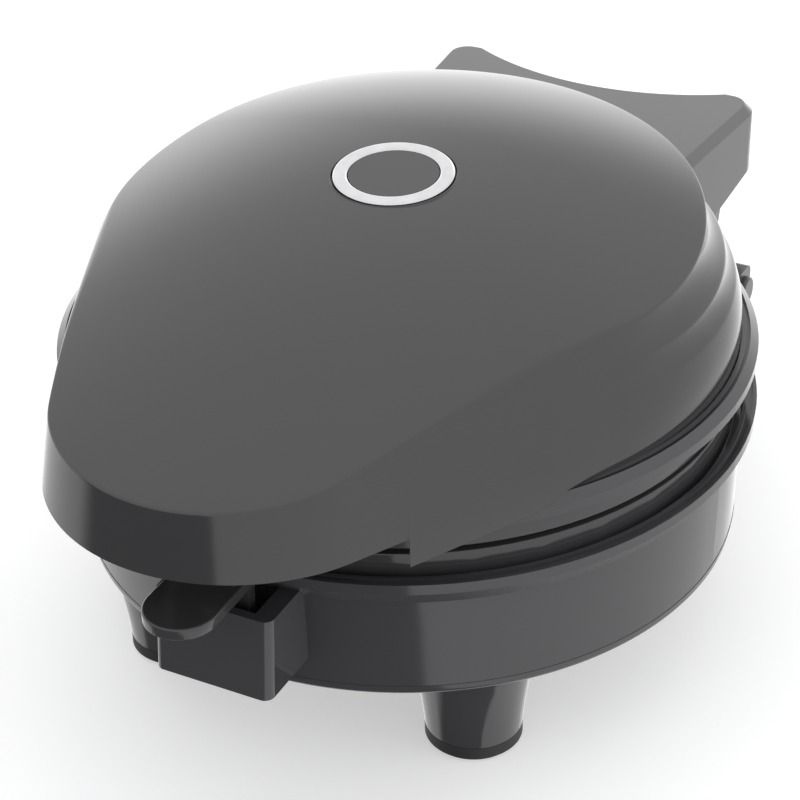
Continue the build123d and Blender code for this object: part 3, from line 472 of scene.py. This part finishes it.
def teardrop(z, turns, inset=0.0):
    """Distance from the ring's middle to the teardrop at a height, in each direction.

    The outline is a rear circle, a slightly bowed arc that touches it and the corner circle, that
    circle, and a front circle that touches both corners. Its points are laid out in order and read
    off by direction.
    """
    rear = flank_curve(z) - inset
    corner = CORNER_RADIUS + FLARE * (RIM_HEIGHT - z) - inset
    front = FRONT_RADIUS + FLARE * (RIM_HEIGHT - z) - inset
    to_rear, to_corner = BOW_RADIUS - inset - rear, BOW_RADIUS - inset - corner
    reach = CORNER_Y - CENTRE_Y
    gap = math.hypot(CORNER_X, reach)
    turn = math.acos((to_corner**2 - to_rear**2 - gap**2) / (2 * to_rear * gap))
    rear_end = math.atan2(reach, CORNER_X) + turn
    bow = (-to_rear * math.cos(rear_end), CENTRE_Y - to_rear * math.sin(rear_end))
    bow_end = math.atan2(CORNER_Y - bow[1], CORNER_X - bow[0])
    split = math.asin(CORNER_X / (front - corner)) - math.pi / 2
    front_centre = (0.0, CORNER_Y - (front - corner) * math.sin(split))
    arcs = [
        arc_points((0.0, CENTRE_Y), rear, np.pi / 2, rear_end, REAR_POINTS),
        arc_points(bow, BOW_RADIUS - inset, rear_end, bow_end, BOW_POINTS),
        arc_points((CORNER_X, CORNER_Y), corner, bow_end, split, CORNER_POINTS),
        arc_points(front_centre, front, split, -np.pi / 2, FRONT_POINTS),
    ]
    x, y = (np.concatenate(values) for values in zip(*arcs))
    direction = np.arctan2(y - RING_Y, x)
    return np.interp(fold(turns), direction[::-1], np.hypot(x, y - RING_Y)[::-1])


print("flank beside the ring:", round(float(teardrop(RIM_HEIGHT, np.array([0.0]))[0]), 1), "mm out")

# %% [markdown]
# On the real lid the steps don't end at a line. They melt into the flanks on the way to the handle.
# A Boolean cut would leave a hard edge there, so the wall is a blend: wholly stepped at the back,
# wholly flank at the handle, and a smooth share of both between two directions.

# %% Wall that turns from steps to flank
FADE_FROM, FADE_TO = math.radians(2), -math.radians(28)


def ease(value):
    """Smooth step: flat at 0 and 1, with an even slope between."""
    value = np.clip(value, 0, 1)
    return value * value * (3 - 2 * value)


def lid_wall(z, turns, inset=0.0):
    """Distance to the lid's side: the stepped wall, which fades into the flank toward the handle."""
    step = float(np.interp(z + inset, PROFILE_Z, PROFILE_R)) - inset
    lean = RING_Y * np.sin(turns)
    round_wall = -lean + np.sqrt(lean**2 - RING_Y**2 + step**2)
    fade = ease((fold(turns) - FADE_FROM) / (FADE_TO - FADE_FROM))
    return (1 - fade) * round_wall + fade * teardrop(z, turns, inset)


print("handle tip at y", round(RING_Y - float(lid_wall(RIM_HEIGHT, np.array([-np.pi / 2]))[0]), 1), "mm")

# %% [markdown]
# The bright ring sits in a shallow round recess that is as flat as a coin. It could be cut out with
# a Boolean, but the lid's rows already run round this very place. So the recess is a few more rows
# on a plane that touches the crown at the ring's middle.

# %% Recess of the ring
RECESS_RADIUS, RECESS_DEPTH = 12.5, 1.5
RECESS_PROFILE = (
    (0.2, 0.0),
    (4.0, 0.0),
    (8.0, 0.0),
    (12.2, 0.0),
    (RECESS_RADIUS, 0.02),
    (RECESS_RADIUS, RECESS_DEPTH - 0.35),
    (RECESS_RADIUS + 0.05, RECESS_DEPTH - 0.08),
)
ring_tilt = math.asin((APEX_Y - RING_Y) / LONG_RADIUS)


def ring_plane(y, lift=0.0):
    """Height of the plane that touches the crown at the ring's middle, raised by a lift."""
    return float(crown(0.0, RING_Y)) + (y - RING_Y) * math.tan(ring_tilt) + lift / math.cos(ring_tilt)


def recess_rows(turns):
    """Floor and rounded mouth of the recess, from its middle out to the crown."""
    reach, rise = np.array(RECESS_PROFILE).T[:, :, None]
    x, y = reach * np.cos(turns), RING_Y + reach * np.sin(turns)
    return np.stack([x, y, ring_plane(y, -RECESS_DEPTH) + rise], axis=-1)


print("recess slopes", round(math.degrees(ring_tilt), 2), "degrees")

# %% [markdown]
# The crown and the wall meet in a crease that is tight in front and at the back, and softer on the
# flanks. A bevel has one width all along an edge, so the crease is a curve with a width that changes
# with the place. Rows lie close together where the surface bends, and under the handle the lip is
# cut higher than round the wall.

# %% Rows of the lid from the ring to the lip
LIP_FRONT, LIP_ROUND = 70.0, 64.6
NOTCH_TURN = 0.4996
CREASE_CRISP, CREASE_SOFT = 0.45, 1.6
SOFT_FROM, SOFT_TO = -72.0, -8.0
BEND_POINTS = 9
RING_LAND = 0.3
STEP_ROWS_TOP, LEDGE_SHARE = 84.2, 0.8
EDGE_ROWS = np.array([-0.3, -0.2, -0.1, 0, 0.1, 0.2, 0.3])
LEVEL_TOP, LEVEL_PITCH = 101.0, 0.1


def wall_fractions(count):
    """Fractions of the way down from above the steps to the lip, close together at each edge."""
    even = np.linspace(STEP_ROWS_TOP, LIP_ROUND, count)
    rows = np.concatenate([even, STEP_HEIGHTS[1] + EDGE_ROWS, STEP_HEIGHTS[0] + EDGE_ROWS])
    return (STEP_ROWS_TOP - np.unique(rows)[::-1]) / (STEP_ROWS_TOP - LIP_ROUND)


def crease_ring(turns, inset, levels, walls):
    """Radius and height, in each direction, at which the crown meets the wall."""
    across, along = np.cos(turns), np.sin(turns)
    above = crown(walls * across, RING_Y + walls * along, inset) - levels[:, None]
    last = (above > 0).sum(axis=0) - 1
    columns = np.arange(len(turns))
    part = above[last, columns] / (above[last, columns] - above[last + 1, columns])
    radius = walls[last, columns] + part * (walls[last + 1, columns] - walls[last, columns])
    return radius, levels[last] + part * (levels[1] - levels[0])


def wall_heights(turns, start_z, high_rows, low_rows):
    """Heights of the wall's rows: even down to a ledge above the steps, then as the steps need them."""
    foot = np.where(np.arccos(-np.sin(turns)) < NOTCH_TURN, LIP_FRONT, LIP_ROUND)
    ledge_z = np.minimum(STEP_ROWS_TOP, foot + LEDGE_SHARE * (start_z - foot))
    high = np.linspace(0, 1, high_rows)[:-1, None]
    low = wall_fractions(low_rows)[:, None]
    return np.vstack([start_z + (ledge_z - start_z) * high, ledge_z + (foot - ledge_z) * low])


def quadratic(start, middle, end):
    """Inner points of a quadratic curve from a start to an end, drawn toward a middle point."""
    t = np.linspace(0, 1, BEND_POINTS)[1:-1, None]
    return (1 - t) ** 2 * start + 2 * t * (1 - t) * middle + t**2 * end


def lid_surface(turns, inset, top_rows, high_rows, low_rows):
    """Rows from the ring's recess over the crown, round the crease and down to the lip.

    Between a point a little inside the crease and a point a little below it the way follows a
    quadratic curve. Its reach is a squared sine of the way from the handle to the round wall, so it
    is tight at both ends and widest half way along the flank.
    """
    levels = np.arange(LIP_ROUND - 1, LEVEL_TOP - inset, LEVEL_PITCH)
    walls = np.array([lid_wall(z, turns, inset) for z in levels])
    across, along = np.cos(turns), np.sin(turns)
    crease_r, crease_z = crease_ring(turns, inset, levels, walls)
    fade = np.clip((RING_Y + crease_r * along - SOFT_FROM) / (SOFT_TO - SOFT_FROM), 0, 1)
    bend = CREASE_CRISP + (CREASE_SOFT - CREASE_CRISP) * np.sin(np.pi * fade) ** 2
    inner_r = RECESS_RADIUS + RING_LAND
    top_r = inner_r + (crease_r - bend - inner_r) * np.linspace(0, 1, top_rows)[:, None]
    top_z = crown(top_r * across, RING_Y + top_r * along, inset)
    wall_z = wall_heights(turns, crease_z - bend, high_rows, low_rows)
    wall_r = np.array([np.interp(wall_z[:, k], levels, walls[:, k]) for k in range(len(turns))]).T
    radius = np.vstack([top_r, quadratic(top_r[-1], crease_r, wall_r[0]), wall_r])
    height = np.vstack([top_z, quadratic(top_z[-1], crease_z, wall_z[0]), wall_z])
    return np.stack([radius * across, RING_Y + radius * along, height], axis=-1)


tip_strip = lid_surface(np.array([-np.pi / 2]), inset=0.0, top_rows=12, high_rows=6, low_rows=12)
print("lip at the handle's tip, mm:", tip_strip[-1, 0].round(2).tolist())

# %% [markdown]
# A grid of points becomes a mesh when each four neighbours make a face. Faces could be filled in one
# by one in edit mode, but whole arrays are quicker and leave no gap. Every new piece passes through
# here, so each one is smooth shaded, keeps its sharp edges and rides the body that it belongs to.

# %% Turn rows into a piece
SHARP_ANGLE = math.radians(28)


def sheet_faces(rows, count):
    """Quads between neighbouring rows of closed rings."""
    r, c = np.meshgrid(np.arange(rows - 1), np.arange(count), indexing="ij")
    a, b = r * count + c, r * count + (c + 1) % count
    return np.stack([a, a + count, b + count, b], axis=-1).reshape(-1, 4)


def add_piece(name, body, replaced, points, faces, material):
    """Mesh object from points in millimetres and faces, riding a body in place of its nodes."""
    mesh = bpy.data.meshes.new(name)
    mesh.from_pydata((points * MM).tolist(), [], faces)
    mesh.polygons.foreach_set("use_smooth", np.ones(len(mesh.polygons), dtype=bool))
    mesh.set_sharp_from_angle(angle=SHARP_ANGLE)
    mesh.materials.append(material)
    item = bpy.data.objects.new(name, mesh)
    scene.collection.objects.link(item)
    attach(item, body)
    for node in replaced:
        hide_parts(node)
    print(name, "faces:", len(mesh.polygons))


print("faces between two rings of 12 points:", len(sheet_faces(2, 12)))

# %% [markdown]
# The real cover is a thin shell, so it has an inner face as well, seen from below when the lid is
# open. A Solidify modifier would fold over at the crease. Here the inner face is the same formula
# with an inset, on the same directions, so both skins meet cleanly at the lip.

# %% Lid cover
TURN_COUNT = 476
NOTCH_SPLIT = 0.0004
SKIN_INSET, SHELL_WALL = 0.03, 2.4
OUTER_ROWS = (44, 20, 50)
INNER_ROWS = (16, 8, 16)


def lid_turns():
    """Directions round the ring from the handle's tip, evenly spread, with a close pair at each notch."""
    even = np.linspace(0, 2 * np.pi, TURN_COUNT, endpoint=False)
    pairs = np.array([NOTCH_TURN - NOTCH_SPLIT, NOTCH_TURN + NOTCH_SPLIT])
    return np.sort(np.concatenate([even, pairs, 2 * np.pi - pairs])) - np.pi / 2


def lid_cover_piece():
    """Outer and inner lid surfaces on one set of directions, joined at the lip and closed in the middle."""
    turns = lid_turns()
    count = len(turns)
    outer = np.concatenate([recess_rows(turns), lid_surface(turns, SKIN_INSET, *OUTER_ROWS)])
    inner = lid_surface(turns, SHELL_WALL, *INNER_ROWS)
    points = np.concatenate([outer, inner[::-1]])
    rows = len(points)
    middle = [[0, RING_Y, ring_plane(RING_Y, -depth)] for depth in (RECESS_DEPTH, RECESS_DEPTH + SHELL_WALL)]
    flat = np.vstack([points.reshape(-1, 3), middle])
    here = np.arange(count)
    after = (here + 1) % count
    last = (rows - 1) * count
    top_fan = np.stack([np.full(count, rows * count), here, after], axis=-1)
    low_fan = np.stack([last + here, np.full(count, rows * count + 1), last + after], axis=-1)
    faces = sheet_faces(rows, count).tolist() + top_fan.tolist() + low_fan.tolist()
    add_piece("lid_cover_skin", "lid", ["lid_cover"], flat, faces, LID_GREY)


lid_cover_piece()

# %% [markdown]
# Round the foot of the base runs a low band with a rounded lower edge. On the solid this round is a
# strip of long triangles, and a glossy finish shows each of them. A finer mesh would cure it, but
# the solid's mesh stays as it is, so the band is turned here from its own profile, a hair proud of
# the wall.

# %% Band round the foot of the base
FOOT_BOTTOM, FOOT_BAND, FOOT_ROUND = 22.48, 2.4, 1.4
FOOT_RADIUS, FOOT_DRAFT, FOOT_PROUD = 69.0, 0.025, 0.08
FOOT_DEPTH = 0.7
QUARTER_POINTS, FOOT_TURNS = 9, 240


def revolve(name, body, replaced, profile, count, material):
    """Closed ring turned about the upright axis from a loop of radii and heights."""
    radius, height = np.array(profile).T[:, :, None]
    turns = np.linspace(0, 2 * np.pi, count, endpoint=False)
    points = np.stack([radius * np.cos(turns), radius * np.sin(turns), height + 0 * turns], axis=-1)
    faces = sheet_faces(len(points) + 1, count) % (len(points) * count)
    add_piece(name, body, replaced, points.reshape(-1, 3), faces.tolist(), material)


def foot_profile():
    """Loop of the band: inner wall, flat top, wall with the base's draft, quarter round, flat underside."""
    wall = FOOT_RADIUS + FOOT_PROUD
    upper = wall + FOOT_DRAFT * FOOT_BAND
    inner = upper - FOOT_DEPTH - FOOT_ROUND
    top = FOOT_BOTTOM + FOOT_BAND
    centre = (wall - FOOT_ROUND, FOOT_BOTTOM + FOOT_ROUND)
    quarter = zip(*arc_points(centre, FOOT_ROUND, 0, -np.pi / 2, QUARTER_POINTS))
    return [(inner, FOOT_BOTTOM), (inner, top), (upper, top), *quarter]


revolve("base_foot_band", "base", [], foot_profile(), FOOT_TURNS, BASE_GREY)

# %% [markdown]
# Some mouldings and the two plates come from the solid with knife-sharp edges. No mould leaves
# such an edge, and without a small round no light catches it. They could be remodelled, but each
# node keeps its mesh and gets three modifiers: one joins its loose triangles, one merges those that
# lie flat, and a narrow bevel rounds what is left.

# %% Rounded edges on the solid's own nodes
EDGE_WIDTHS = {
    "hinge_block": 0.5,
    "lower_ring": 0.25,
    "latch_lever": 0.12,
    "indicator_ring": 0.2,
    "indicator_disc": 0.15,
    "lower_plate": 0.25,
    "upper_plate": 0.25,
}
WELD_GAP = 0.002
FLAT_ANGLE = math.radians(0.2)
EDGE_ANGLE, EDGE_SEGMENTS = math.radians(32), 3


def round_edges(name, width):
    """Weld, planar dissolve and an angle-limited bevel on one node."""
    item = nodes[name]
    weld = item.modifiers.new("weld", "WELD")
    weld.merge_threshold = WELD_GAP * MM
    flat = item.modifiers.new("flat", "DECIMATE")
    flat.decimate_type = "DISSOLVE"
    flat.angle_limit = FLAT_ANGLE
    bevel = item.modifiers.new("edge", "BEVEL")
    bevel.width = width * MM
    bevel.segments = EDGE_SEGMENTS
    bevel.limit_method = "ANGLE"
    bevel.angle_limit = EDGE_ANGLE
    bevel.harden_normals = True


for name, width in EDGE_WIDTHS.items():
    round_edges(name, width)
print("rounded nodes:", len(EDGE_WIDTHS))

# %% [markdown]
# Every node of the solid still has no finish of its own. A list by name could cover all of them, but
# the repeated small parts share the start of their names. So the list holds the single pieces, the
# pads are rubber, the hinge pins match the base, and whatever is left is a screw, a pin or a spring
# of steel.

# %% Finish of each node
FINISH = {
    "lid_cover": LID_GREY,
    "indicator_disc": LID_GREY,
    "lid_housing": BASE_GREY,
    "hinge_block": HINGE_GREY,
    "base_shell": BASE_GREY,
    "lower_ring": BAND_GREY,
    "bottom_cover": BASE_GREY,
    "handle_base": BAND_GREY,
    "latch_lever": LATCH_DARK,
    "cord_gland": RUBBER,
    "indicator_ring": BRIGHT,
    "indicator_lamp": LAMP,
    "lower_plate": PLATE_COAT,
    "upper_plate": PLATE_COAT,
    "lower_element": HEATER,
    "upper_element": HEATER,
    "lower_heat_shield": SHEET,
    "upper_heat_shield": SHEET,
    "thermostat": CERAMIC,
    "thermal_fuse": CERAMIC,
    "terminal_block": CERAMIC,
}
FAMILY_FINISH = {"foot_pad": RUBBER, "hinge_pin": BASE_GREY}


def finish_of(name):
    """Finish of a node: its own, that of its family, or steel."""
    family = [material for start, material in FAMILY_FINISH.items() if name.startswith(start)]
    return FINISH.get(name, family[0] if family else STEEL)


for name, item in nodes.items():
    item.data.materials.clear()
    item.data.materials.append(finish_of(name))
print("dressed nodes:", len(nodes))
